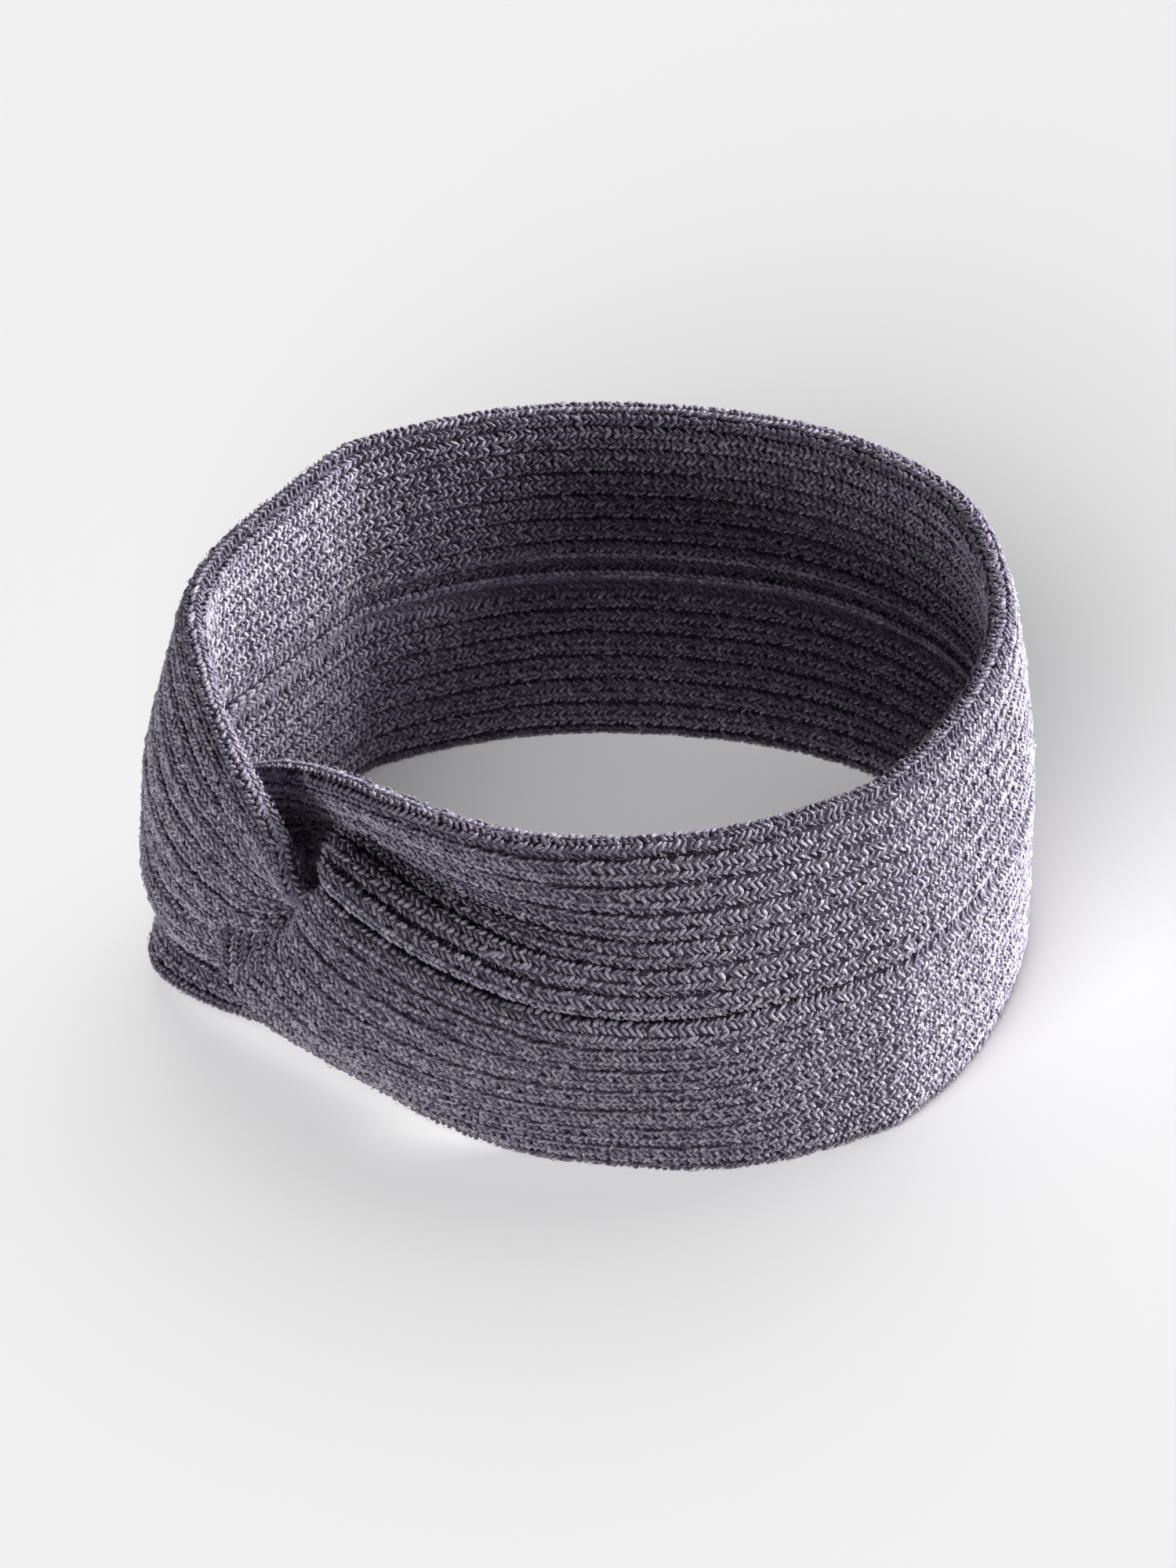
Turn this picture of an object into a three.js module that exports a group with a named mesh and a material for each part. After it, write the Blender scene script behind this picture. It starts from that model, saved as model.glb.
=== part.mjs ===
// Ear warmer headband with a twist: one rib-knit strip in two layers, bent into a ring,
// whose two ends hook through each other and are sewn together behind the knot.
// Millimetres, +Z up. The origin is on the floor under the middle of the ring.
import * as THREE from "three";

// Driving sizes of the ring
const BAND_HEIGHT = 88; // height of the wall, floor to rim
const HALF_WIDTH = 90; // half of the ring from its left side to its right, at the rim
const HALF_DEPTH = 72; // half of the ring from its front to its back, at the rim
const WALL = 7; // both knitted layers together, rib crest to rib crest
const BELLY = 7; // how far the wall may stand out from the rim's outline at mid-height
const BELLY_CREASE = 0.5; // sharpness of the crease at mid-height: 0 is round, 1 is a fold
const FOLD_REACH = 28; // how far an upright storage fold spreads each way along the ring
const FOLD_SOFT = 3; // roundness of its ridge
const FLOOR_PRESS = 0.4; // how much of the lower edge its own weight flattens

// Driving sizes of the ribs
const RIBS = 13; // ribs on each face, between the two rolled edges
const RIB_DEPTH = 1.1; // depth of the grooves between ribs
const EDGE_GROOVE = 1.6; // deeper groove beside each rolled edge

// Driving sizes of the knot, where the two ends hook through each other
const KNOT_REACH = 80; // length of strip, from the sewn end, that the knot pulls out of shape
const KNOT_LIFT = 10; // how far the layer in front stands off the ring's outline
const KNOT_DROP = 3.5; // how far the layer behind is pushed in
const KNOT_RISE = 9; // how far the middle of the knot sits above the middle of the wall
const RISE_REACH = 64; // distance along the ring at which the rise has faded
const KNOT_BOW = 7; // how far the crossing bows along the ring at its middle
const KNOT_SAG = 21; // how much lower the left end's hidden edge hangs than half a turn puts it
const SAG_REACH = 0.85; // share of the knot's reach at which the sag has faded
const SAG_CURVE = 1.3; // how steeply the sag grows towards the hidden edge
const BOW_WIDTH = 22; // distance along the ring at which the bow has faded
const BOW_HEIGHT = 20; // distance up and down at which the bow has faded

// Driving sizes of the inner seam, which closes the folded strip along its middle
const SEAM_VALLEY = 2.0; // depth of the flat valley on the inside
const CHAIN_WIDTH = 2.6; // width of the linking chain that lies in the valley
const CHAIN_THICK = 1.3; // thickness of the chain
const CHAIN_BEVEL = 0.6; // share of the chain's width that its top keeps
const CHAIN_GAP = 0.6; // clearance between chain and knit
const CHAIN_START = 0.85; // share of the knot's reach where the chain comes out of the knot

// Driving sizes of the end seam, a plain tape behind the knot that holds the two ends together
const TAPE_WIDTH = 30; // width of the tape along the ring
const TAPE_HEIGHT = 42; // height of the tape
const TAPE_LOWER = 5; // how far its middle hangs below the middle of the knot
const TAPE_THICK = 2; // thickness of the tape
const TAPE_SINK = 1.15; // depth of the cloth behind the knot, as a share of KNOT_DROP
const TAPE_GAP = 0.4; // clearance between tape and knit

// Fineness of the mesh
const HOOK_STEP = 4.2; // length of strip between two sections in the knot
const PLAIN_STEP = 8.5; // length of strip between two sections in the plain ring
const TAPE_ROWS = 8; // sections of the tape
const ALONG_NUDGE = 0.5; // step along the strip used to measure its slope
const WIDTH_NUDGE = 0.01; // step across it, as a share of its width

// Outline of the rim seen from above, from the knot round the front, right, back and left.
// x and y are shares of the half width and half depth. belly and foot are shares of BELLY:
// how far the wall stands out at mid-height and at the floor.
const OUTLINE = [
  { x: -0.665, y: -0.555, belly: 0.2, foot: 0.3 },
  { x: -0.33, y: -0.86, belly: 0.5, foot: -0.2 },
  { x: 0.04, y: -0.975, belly: 0.9, foot: -0.2 },
  { x: 0.4, y: -0.9, belly: 1.0, foot: 0.5 },
  { x: 0.72, y: -0.62, belly: 1.0, foot: 0.9 },
  { x: 0.9, y: -0.23, belly: 0.9, foot: 0.9 },
  { x: 0.945, y: 0.2, belly: 0.7, foot: 0.8 },
  { x: 0.84, y: 0.61, belly: 0.4, foot: 0.3 },
  { x: 0.51, y: 0.915, belly: 0.2, foot: -0.2 },
  { x: 0.0, y: 1.015, belly: 0.1, foot: -0.3 },
  { x: -0.42, y: 0.89, belly: 0.1, foot: -0.2 },
  { x: -0.72, y: 0.56, belly: 0.2, foot: 0.0 },
  { x: -0.885, y: 0.18, belly: 0.5, foot: 0.6 },
  { x: -0.84, y: -0.18, belly: 0.5, foot: 2.3 },
];

// Upright storage folds, where the band lay flat: along is a share of the strip's length, and
// height is how far the ridge stands out.
const FOLDS = [
  { name: "fold at the right front", along: 0.269, height: 1.7 },
  { name: "fold at the left back", along: 0.769, height: 1.9 },
];

// Guide lines of one hooked end, evenly spaced over the strip's width, from the sewn end to the
// plain ring. The other end is the same shape turned by half a turn about the knot's outward axis.
// along is a share of KNOT_REACH. out is a share of KNOT_LIFT where it is above nought and of
// KNOT_DROP below. up is a share of BAND_HEIGHT, from the middle of the knot.
const GUIDES = [
  {
    name: "edge in front",
    rows: [
      { along: -0.08, out: 1.09, up: -0.205 },
      { along: -0.045, out: 1.1, up: -0.29 },
      { along: 0.11, out: 0.8, up: -0.365 },
      { along: 0.34, out: 0.4, up: -0.415 },
      { along: 0.65, out: 0.1, up: -0.48 },
      { along: 1.0, out: 0.0, up: -0.5 },
    ],
  },
  {
    name: "low in the front layer",
    rows: [
      { along: 0.008, out: 0.68, up: -0.11 },
      { along: 0.05, out: 1.0, up: -0.13 },
      { along: 0.2, out: 1.1, up: -0.19 },
      { along: 0.44, out: 0.7, up: -0.24 },
      { along: 0.72, out: 0.2, up: -0.285 },
      { along: 1.0, out: 0.0, up: -0.3 },
    ],
  },
  {
    name: "high in the front layer",
    rows: [
      { along: 0.056, out: 0.1, up: 0.03 },
      { along: 0.108, out: 0.85, up: 0.045 },
      { along: 0.26, out: 1.1, up: 0.04 },
      { along: 0.48, out: 0.85, up: 0.0 },
      { along: 0.74, out: 0.35, up: -0.06 },
      { along: 1.0, out: 0.0, up: -0.1 },
    ],
  },
  {
    name: "crest",
    rows: [
      { along: 0.0, out: -1.1, up: 0.13 },
      { along: 0.11, out: -0.2, up: 0.18 },
      { along: 0.24, out: 0.65, up: 0.225 },
      { along: 0.46, out: 0.65, up: 0.2 },
      { along: 0.7, out: 0.35, up: 0.15 },
      { along: 1.0, out: 0.0, up: 0.1 },
    ],
  },
  {
    name: "valley",
    rows: [
      { along: -0.12, out: -1.0, up: 0.15 },
      { along: 0.04, out: -1.0, up: 0.22 },
      { along: 0.22, out: -1.0, up: 0.26 },
      { along: 0.45, out: -0.9, up: 0.29 },
      { along: 0.7, out: -0.5, up: 0.305 },
      { along: 1.0, out: 0.0, up: 0.3 },
    ],
  },
  {
    name: "edge behind",
    rows: [
      { along: -0.24, out: -0.9, up: 0.18 },
      { along: -0.05, out: -0.8, up: 0.285 },
      { along: 0.15, out: -0.6, up: 0.37 },
      { along: 0.4, out: -0.2, up: 0.44 },
      { along: 0.69, out: 0.0, up: 0.485 },
      { along: 1.0, out: 0.0, up: 0.5 },
    ],
  },
];

// Rolled edges in section: turn is the angle from the way the wall points, towards the outside,
// and reach is a share of half the wall. The upper edge shows three ridges.
const RIM_ROLL = [
  { turn: 72, reach: 1.0 },
  { turn: 36, reach: 0.82 },
  { turn: 0, reach: 1.0 },
  { turn: -36, reach: 0.82 },
  { turn: -72, reach: 1.0 },
];
const FOOT_ROLL = [
  { turn: -68, reach: 0.95 },
  { turn: -28, reach: 1.0 },
  { turn: 28, reach: 1.0 },
  { turn: 68, reach: 0.95 },
];

const RAD = Math.PI / 180;
const rimLine = new THREE.CatmullRomCurve3(
  OUTLINE.map((row) => new THREE.Vector3(row.x * HALF_WIDTH, row.y * HALF_DEPTH, 0)),
  true,
  "catmullrom",
);
rimLine.arcLengthDivisions = 600;
const leanLine = new THREE.CatmullRomCurve3(
  OUTLINE.map((row) => new THREE.Vector3(row.belly * BELLY, row.foot * BELLY, 0)),
  true,
  "catmullrom",
);
const LOOP = rimLine.getLength();

// Height of the middle of the wall's lower and upper edge above the floor.
const LOW = (WALL / 2) * Math.cos(FOOT_ROLL[1].turn * RAD) - FLOOR_PRESS;
const HIGH = BAND_HEIGHT - WALL / 2;

// Share of the belly at a share of the height: a soft crease at mid-height.
function leanAt(share, belly, foot) {
  const upper = share > 0.5;
  const near = upper ? (1 - share) / 0.5 : share / 0.5;
  const round = Math.sin((near * Math.PI) / 2);
  const soft = BELLY_CREASE * near + (1 - BELLY_CREASE) * round;
  return upper ? soft * belly : foot + soft * (belly - foot);
}

// How far the storage folds push the wall out at a distance along the ring.
function foldAt(along) {
  const heights = FOLDS.map((fold) => {
    const away = Math.hypot(along - fold.along * LOOP, FOLD_SOFT) / FOLD_REACH;
    return fold.height * Math.max(1 - away, 0) ** 2;
  });
  return heights.reduce((sum, height) => sum + height, 0);
}

// A place given by its distance along the ring, its distance out of the ring's outline and its
// share of the height, as a point in space.
function place(along, out, share) {
  const turn = (((along / LOOP) % 1) + 1) % 1;
  const t = rimLine.getUtoTmapping(turn);
  const point = rimLine.getPoint(t);
  const way = rimLine.getTangent(t);
  const lean = leanLine.getPoint(t);
  const level = Math.min(Math.max(share, 0), 1);
  const reach = out + leanAt(level, lean.x, lean.y) + foldAt(turn * LOOP);
  point.x += way.y * reach;
  point.y -= way.x * reach;
  point.z = LOW + share * (HIGH - LOW);
  return point;
}

// Smooth value between four rows of a table.
function blend(a, b, c, d, t) {
  const bend = a * -0.5 + b * 1.5 - c * 1.5 + d * 0.5;
  const turn = a - b * 2.5 + c * 2 - d * 0.5;
  return ((bend * t + turn) * t + (c - a) * 0.5) * t + b;
}

// Smooth run through a list of values, with even steps and straight ends.
function smooth(values, share) {
  const last = values.length - 1;
  const spot = Math.min(Math.max(share, 0), 1) * last;
  const i = Math.min(Math.floor(spot), last - 1);
  const before = i > 0 ? values[i - 1] : 2 * values[0] - values[1];
  const after = i + 2 <= last ? values[i + 2] : 2 * values[last] - values[last - 1];
  return blend(before, values[i], values[i + 1], after, spot - i);
}

// One hooked end: run is the share of the knot's reach from the sewn end, across the share of
// the strip's width from the edge in front to the edge behind.
function hook(run, across) {
  const guides = GUIDES.map((guide) => ({
    along: smooth(guide.rows.map((row) => row.along), run) * KNOT_REACH,
    out: smooth(
      guide.rows.map((row) => row.out * (row.out > 0 ? KNOT_LIFT : KNOT_DROP)),
      run,
    ),
    up: smooth(guide.rows.map((row) => row.up), run),
  }));
  const cross = (key) => smooth(guides.map((guide) => guide[key]), across);
  return { along: cross("along"), out: cross("out"), up: cross("up") };
}

// A place in the knot, raised and bowed as a whole. along and up are measured from its middle.
function placeInKnot(along, out, up) {
  const far = THREE.MathUtils.smoothstep(Math.abs(along), 0, RISE_REACH);
  const height = up * BAND_HEIGHT;
  const bow = KNOT_BOW * Math.exp(-((along / BOW_WIDTH) ** 2) - (height / BOW_HEIGHT) ** 2);
  return place(along + bow, out, 0.5 + up + (KNOT_RISE / BAND_HEIGHT) * (1 - far));
}

// The middle of the cloth: distance along the strip, share of its width from the lower edge.
function cloth(along, width) {
  if (along < KNOT_REACH) {
    const at = hook(along / KNOT_REACH, width);
    return placeInKnot(at.along, at.out, at.up);
  }
  if (along > LOOP - KNOT_REACH) {
    const run = (LOOP - along) / KNOT_REACH;
    const at = hook(run, 1 - width);
    const near = 1 - THREE.MathUtils.smoothstep(run, 0, SAG_REACH);
    const sag = (KNOT_SAG / BAND_HEIGHT) * (1 - width) ** SAG_CURVE * near;
    return placeInKnot(-at.along, at.out, -at.up - sag);
  }
  return place(along, 0, width);
}

// The cloth's own frame: its middle, the way across it and the way out of it.
function frameAt(along, width) {
  const w0 = Math.max(width - WIDTH_NUDGE, 0);
  const w1 = Math.min(width + WIDTH_NUDGE, 1);
  const a0 = Math.max(along - ALONG_NUDGE, 0);
  const a1 = Math.min(along + ALONG_NUDGE, LOOP);
  const way = cloth(a1, width).sub(cloth(a0, width)).normalize();
  const up = cloth(along, w1).sub(cloth(along, w0)).normalize();
  const out = new THREE.Vector3().crossVectors(way, up).normalize();
  return { middle: cloth(along, width), up: up.crossVectors(out, way).normalize(), out };
}

// Width shares of the grooves and crests of one face, from the lower edge up.
const RIB_MARKS = Array.from({ length: 2 * RIBS + 1 }, (_, i) => i / (2 * RIBS));
const MIDDLE_MARK = RIBS;

// Half thickness at one mark of the outer or the inner face.
function faceReach(mark, inside) {
  const edge = mark === 0 || mark === 2 * RIBS;
  const groove = mark % 2 === 0;
  if (inside && Math.abs(mark - MIDDLE_MARK) <= 1) return WALL / 2 - SEAM_VALLEY;
  if (edge) return WALL / 2 - EDGE_GROOVE;
  return groove ? WALL / 2 - RIB_DEPTH : WALL / 2;
}

// Pressed flat on the floor where it would go lower.
function rested(point) {
  point.z = Math.max(point.z, 0);
  return point;
}

// One closed section of the band: outer face up, over the rim, inner face down, under the foot.
function section(along) {
  const loop = [];
  const face = (mark, side) => {
    const at = frameAt(along, RIB_MARKS[mark]);
    loop.push(rested(at.middle.addScaledVector(at.out, side * faceReach(mark, side < 0))));
  };
  const roll = (width, sign, rows) => {
    const at = frameAt(along, width);
    for (const row of rows) {
      const out = Math.sin(row.turn * RAD) * row.reach * (WALL / 2);
      const up = Math.cos(row.turn * RAD) * row.reach * (WALL / 2) * sign;
      loop.push(rested(at.middle.clone().addScaledVector(at.out, out).addScaledVector(at.up, up)));
    }
  };
  RIB_MARKS.forEach((_, mark) => face(mark, 1));
  roll(1, 1, RIM_ROLL);
  RIB_MARKS.forEach((_, i) => face(2 * RIBS - i, -1));
  roll(0, -1, FOOT_ROLL);
  return loop;
}

// Distances along the strip at which it has a section: close together in the knot.
function stations() {
  const places = [];
  const cuts = [0, KNOT_REACH, LOOP - KNOT_REACH, LOOP];
  const steps = [HOOK_STEP, PLAIN_STEP, HOOK_STEP];
  steps.forEach((step, i) => {
    const count = Math.max(1, Math.round((cuts[i + 1] - cuts[i]) / step));
    for (let k = 0; k < count; k++) places.push(cuts[i] + ((cuts[i + 1] - cuts[i]) * k) / count);
  });
  places.push(LOOP);
  return places;
}

// A closed body through sections with equal numbers of points. The ends are closed by a ladder
// of faces between the two sides of the section.
function loft(loops) {
  const size = loops[0].length;
  const points = loops.flat();
  const faces = [];
  for (let k = 0; k + 1 < loops.length; k++) {
    for (let j = 0; j < size; j++) {
      const a = k * size + j;
      const b = k * size + ((j + 1) % size);
      faces.push(a, a + size, b + size, a, b + size, b);
    }
  }
  const last = (loops.length - 1) * size;
  let low = 0;
  let high = size - 1;
  while (high - low > 1) {
    faces.push(high, low, low + 1, last + low, last + high, last + low + 1);
    low += 1;
    if (high - low <= 1) break;
    faces.push(high, low, high - 1, last + low, last + high, last + high - 1);
    high -= 1;
  }
  const body = new THREE.BufferGeometry();
  const numbers = points.flatMap((point) => point.toArray());
  body.setAttribute("position", new THREE.Float32BufferAttribute(numbers, 3));
  body.setIndex(faces);
  body.computeVertexNormals();
  return body;
}

// The knitted strip, both layers and both hooked ends
function bandShape() {
  return loft(stations().map(section));
}

// The linking chain along the inside, a low strip with bevelled sides
function chainShape() {
  const base = -(WALL / 2 - SEAM_VALLEY) - CHAIN_GAP;
  const half = CHAIN_WIDTH / 2;
  const bevel = CHAIN_BEVEL * half;
  const corners = [
    { up: -half, out: base },
    { up: half, out: base },
    { up: half, out: base - CHAIN_THICK / 2 },
    { up: bevel, out: base - CHAIN_THICK },
    { up: -bevel, out: base - CHAIN_THICK },
    { up: -half, out: base - CHAIN_THICK / 2 },
  ];
  const start = CHAIN_START * KNOT_REACH;
  const inRing = (along) => along >= start && along <= LOOP - start;
  const loops = stations().filter(inRing).map((along) => {
    const at = frameAt(along, 0.5);
    return corners.map((corner) =>
      at.middle.clone().addScaledVector(at.up, corner.up).addScaledVector(at.out, corner.out),
    );
  });
  return loft(loops);
}

// The tape behind the knot, sewn over both ends
function tapeShape() {
  const face = -KNOT_DROP * TAPE_SINK - WALL / 2 - TAPE_GAP;
  const half = TAPE_WIDTH / 2;
  const corners = [
    { along: -half, out: face },
    { along: -half, out: face - TAPE_THICK },
    { along: 0, out: face - TAPE_THICK },
    { along: half, out: face - TAPE_THICK },
    { along: half, out: face },
    { along: 0, out: face },
  ];
  const loops = Array.from({ length: TAPE_ROWS + 1 }, (_, i) => {
    const up = (KNOT_RISE - TAPE_LOWER + TAPE_HEIGHT * (i / TAPE_ROWS - 0.5)) / BAND_HEIGHT;
    return corners.map((corner) => place(corner.along, corner.out, 0.5 + up));
  });
  return loft(loops);
}

const knit = new THREE.MeshStandardMaterial({ color: 0x6f6b7e, roughness: 0.95, metalness: 0 });
const chainYarn = new THREE.MeshStandardMaterial({ color: 0x5d596b, roughness: 0.95, metalness: 0 });

function piece(name, shape, material) {
  const mesh = new THREE.Mesh(shape, material);
  mesh.name = name;
  return mesh;
}

const group = new THREE.Group();
group.add(piece("band", bandShape(), knit));
group.add(piece("seam_chain", chainShape(), chainYarn));
group.add(piece("end_seam", tapeShape(), chainYarn));

// The origin goes to the floor under the middle of the whole ring.
const middle = new THREE.Box3().setFromObject(group).getCenter(new THREE.Vector3());
group.children.forEach((mesh) => mesh.geometry.translate(-middle.x, -middle.y, 0));

export default group;
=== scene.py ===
# %% [markdown]
# # A knitted ear warmer headband, stitch by stitch
#
# The real headband is one strip of rib knit. It is folded along its length into two
# layers, its long edges are linked together down the middle of the inside, and its two
# ends are hooked through each other and sewn together. That makes a ring with a twist.
#
# The solid model gives the true form of the cloth. Here it gets what makes it knitwear:
# rows of small V-shaped stitches, a heathered yarn, a linking chain inside and a thin
# halo of stray fibres. Everything is worked out in millimetres and stored in metres.

import bpy
import numpy as np
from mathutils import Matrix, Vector


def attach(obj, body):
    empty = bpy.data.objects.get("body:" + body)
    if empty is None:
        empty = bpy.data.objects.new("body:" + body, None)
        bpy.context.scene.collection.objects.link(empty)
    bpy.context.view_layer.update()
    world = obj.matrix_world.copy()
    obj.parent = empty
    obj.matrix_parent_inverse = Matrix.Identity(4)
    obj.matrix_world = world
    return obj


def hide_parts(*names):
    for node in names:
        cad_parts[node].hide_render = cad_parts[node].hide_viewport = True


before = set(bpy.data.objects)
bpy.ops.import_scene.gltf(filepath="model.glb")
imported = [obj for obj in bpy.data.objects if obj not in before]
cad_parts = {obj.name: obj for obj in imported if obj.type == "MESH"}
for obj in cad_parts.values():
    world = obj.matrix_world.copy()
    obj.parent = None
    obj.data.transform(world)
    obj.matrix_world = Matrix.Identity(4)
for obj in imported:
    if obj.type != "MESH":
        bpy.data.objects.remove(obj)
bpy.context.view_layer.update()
print("nodes of the solid model:", sorted(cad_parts))

# %% [markdown]
# ## The form of the cloth
#
# The strip follows a rim line that is drawn from above as a smooth closed curve, and its
# wall stands out from that line by a little belly. Near the knot the strip leaves the
# rim line: six guide lines say where the cloth runs, from the sewn end to the plain
# ring. The other end is the same shape turned by half a turn, because two hooked ends
# of one strip lock into each other evenly.
#
# A sculpted mesh could also have given this form. A formula was chosen, because every
# stitch must know its own place, its own direction and which way is out.

# %% Sizes of the ring and the knot, in millimetres
BAND_HEIGHT = 88.0
HALF_WIDTH = 90.0
HALF_DEPTH = 72.0
WALL = 7.0
BELLY = 7.0
BELLY_CREASE = 0.5
FLOOR_PRESS = 0.4
FOLD_REACH = 28.0
FOLD_SOFT = 2.0
KNOT_REACH = 80.0
KNOT_LIFT = 10.0
KNOT_DROP = 3.5
KNOT_RISE = 9.0
RISE_REACH = 64.0
KNOT_BOW = 7.0
KNOT_SAG = 21.0
SAG_REACH = 0.85
SAG_CURVE = 1.3
END_TUCK = 7.0  # how far each sewn end runs on, hidden under the other one
BOW_WIDTH = 22.0
BOW_HEIGHT = 20.0
RING_MIDDLE = (0.26, -2.02)  # middle of the ring before it is set over the origin

# Rim line from above. Columns: x and y as shares of the half sizes, then how far the
# wall stands out at mid-height and at the floor, as shares of the belly.
OUTLINE = np.array([
    (-0.665, -0.555, 0.2, 0.3),
    (-0.33, -0.86, 0.5, -0.2),
    (0.04, -0.975, 0.9, -0.2),
    (0.4, -0.9, 1.0, 0.5),
    (0.72, -0.62, 1.0, 0.9),
    (0.9, -0.23, 0.9, 0.9),
    (0.945, 0.2, 0.7, 0.8),
    (0.84, 0.61, 0.4, 0.3),
    (0.51, 0.915, 0.2, -0.2),
    (0.0, 1.015, 0.1, -0.3),
    (-0.42, 0.89, 0.1, -0.2),
    (-0.72, 0.56, 0.2, 0.0),
    (-0.885, 0.18, 0.5, 0.6),
    (-0.84, -0.18, 0.5, 2.3),
])

# Upright folds from storage. Columns: share of the strip's length, height of the ridge.
FOLDS = [(0.269, 2.2), (0.769, 2.8)]

# Guide lines of one hooked end. Columns: along as a share of the knot's reach, out as a
# share of the lift or the drop, up as a share of the height from the knot's middle.
GUIDES = {
    "edge in front": [
        (-0.08, 1.09, -0.205), (-0.045, 1.1, -0.29), (0.11, 0.8, -0.365),
        (0.34, 0.4, -0.415), (0.65, 0.1, -0.48), (1.0, 0.0, -0.5),
    ],
    "low in the front layer": [
        (0.008, 0.68, -0.11), (0.05, 1.0, -0.13), (0.2, 1.1, -0.19),
        (0.44, 0.7, -0.24), (0.72, 0.2, -0.285), (1.0, 0.0, -0.3),
    ],
    "high in the front layer": [
        (0.056, 0.1, 0.03), (0.108, 0.85, 0.045), (0.26, 1.1, 0.04),
        (0.48, 0.85, 0.0), (0.74, 0.35, -0.06), (1.0, 0.0, -0.1),
    ],
    "crest": [
        (0.0, -1.1, 0.13), (0.11, -0.2, 0.18), (0.24, 0.65, 0.225),
        (0.46, 0.65, 0.2), (0.7, 0.35, 0.15), (1.0, 0.0, 0.1),
    ],
    "valley": [
        (-0.12, -1.0, 0.15), (0.04, -1.0, 0.22), (0.22, -1.0, 0.26),
        (0.45, -0.9, 0.29), (0.7, -0.5, 0.305), (1.0, 0.0, 0.3),
    ],
    "edge behind": [
        (-0.24, -0.9, 0.18), (-0.05, -0.8, 0.285), (0.15, -0.6, 0.37),
        (0.4, -0.2, 0.44), (0.69, 0.0, 0.485), (1.0, 0.0, 0.5),
    ],
}

# %% Smooth curves through short tables
def smoothstep(value, low, high):
    share = np.clip((value - low) / (high - low), 0.0, 1.0)
    return share * share * (3.0 - 2.0 * share)


def blend(a, b, c, d, share):
    bend = -0.5 * a + 1.5 * b - 1.5 * c + 0.5 * d
    turn = a - 2.5 * b + 2.0 * c - 0.5 * d
    return ((bend * share + turn) * share + (c - a) * 0.5) * share + b


def round_the_ring(table, turn):
    """A closed smooth curve through a table's rows. One turn is 0 to 1."""
    spot = np.mod(turn, 1.0) * len(table)
    row = np.floor(spot).astype(int)
    near = [table[np.mod(row + k, len(table))] for k in (-1, 0, 1, 2)]
    return blend(*near, (spot - row)[:, None])


def through(rows, share):
    """A smooth run through evenly spaced rows, one column of rows for each point."""
    rows = np.broadcast_to(rows, (len(rows), len(share)))
    rows = np.concatenate([[2 * rows[0] - rows[1]], rows, [2 * rows[-1] - rows[-2]]])
    spot = np.clip(share, 0.0, 1.0) * (len(rows) - 3)
    row = np.minimum(np.floor(spot).astype(int), len(rows) - 4)
    column = np.arange(len(share))
    near = [rows[row + k, column] for k in range(4)]
    return blend(*near, spot - row)


RIM_LINE = OUTLINE[:, :2] * (HALF_WIDTH, HALF_DEPTH)
LEAN_LINE = OUTLINE[:, 2:] * BELLY
TURNS = np.linspace(0.0, 1.0, 601)
RIM_STEPS = np.linalg.norm(np.diff(round_the_ring(RIM_LINE, TURNS), axis=0), axis=1)
RIM_REACHED = np.concatenate([[0.0], np.cumsum(RIM_STEPS)])
LOOP = RIM_REACHED[-1]
print("length of the strip round the ring: %.1f mm" % LOOP)

# %% Where a point of the cloth lies
LOW = WALL / 2 * np.cos(np.radians(28)) - FLOOR_PRESS
HIGH = BAND_HEIGHT - WALL / 2


def lean_at(level, belly, foot):
    """How far the wall stands out at a share of its height."""
    near = np.where(level > 0.5, (1 - level) / 0.5, level / 0.5)
    soft = BELLY_CREASE * near + (1 - BELLY_CREASE) * np.sin(near * np.pi / 2)
    return np.where(level > 0.5, soft * belly, foot + soft * (belly - foot))


def place(along, out, level):
    """A point from its distance along the ring, distance out and share of the height."""
    turn = np.mod(along / LOOP, 1.0)
    spot = np.interp(turn * LOOP, RIM_REACHED, TURNS)
    point = round_the_ring(RIM_LINE, spot)
    way = round_the_ring(RIM_LINE, spot + 1e-4) - round_the_ring(RIM_LINE, spot - 1e-4)
    way /= np.linalg.norm(way, axis=1)[:, None]
    lean = round_the_ring(LEAN_LINE, spot)
    reach = out + lean_at(np.clip(level, 0, 1), lean[:, 0], lean[:, 1])
    for share, height in FOLDS:
        away = np.hypot(turn * LOOP - share * LOOP, FOLD_SOFT) / FOLD_REACH
        reach = reach + height * np.clip(1 - away, 0, None) ** 2
    x = point[:, 0] + way[:, 1] * reach - RING_MIDDLE[0]
    y = point[:, 1] - way[:, 0] * reach - RING_MIDDLE[1]
    return np.stack([x, y, LOW + level * (HIGH - LOW)], axis=1)


def hook(run, across):
    """One hooked end: share of the knot's reach, share of the strip's width."""
    guides = np.array(list(GUIDES.values()))
    out = guides[:, :, 1]
    guides[:, :, 1] = np.where(out > 0, out * KNOT_LIFT, out * KNOT_DROP)
    guides[:, :, 0] *= KNOT_REACH
    lines = [[through(line[:, [key]], run) for line in guides] for key in range(3)]
    return [through(np.array(line), across) for line in lines]


def place_in_knot(along, out, up):
    """A point measured from the knot's middle, raised and bowed with the whole knot."""
    rise = KNOT_RISE / BAND_HEIGHT * (1 - smoothstep(np.abs(along), 0, RISE_REACH))
    height = up * BAND_HEIGHT
    bow = KNOT_BOW * np.exp(-((along / BOW_WIDTH) ** 2) - (height / BOW_HEIGHT) ** 2)
    return place(along + bow, out, 0.5 + up + rise)


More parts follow.
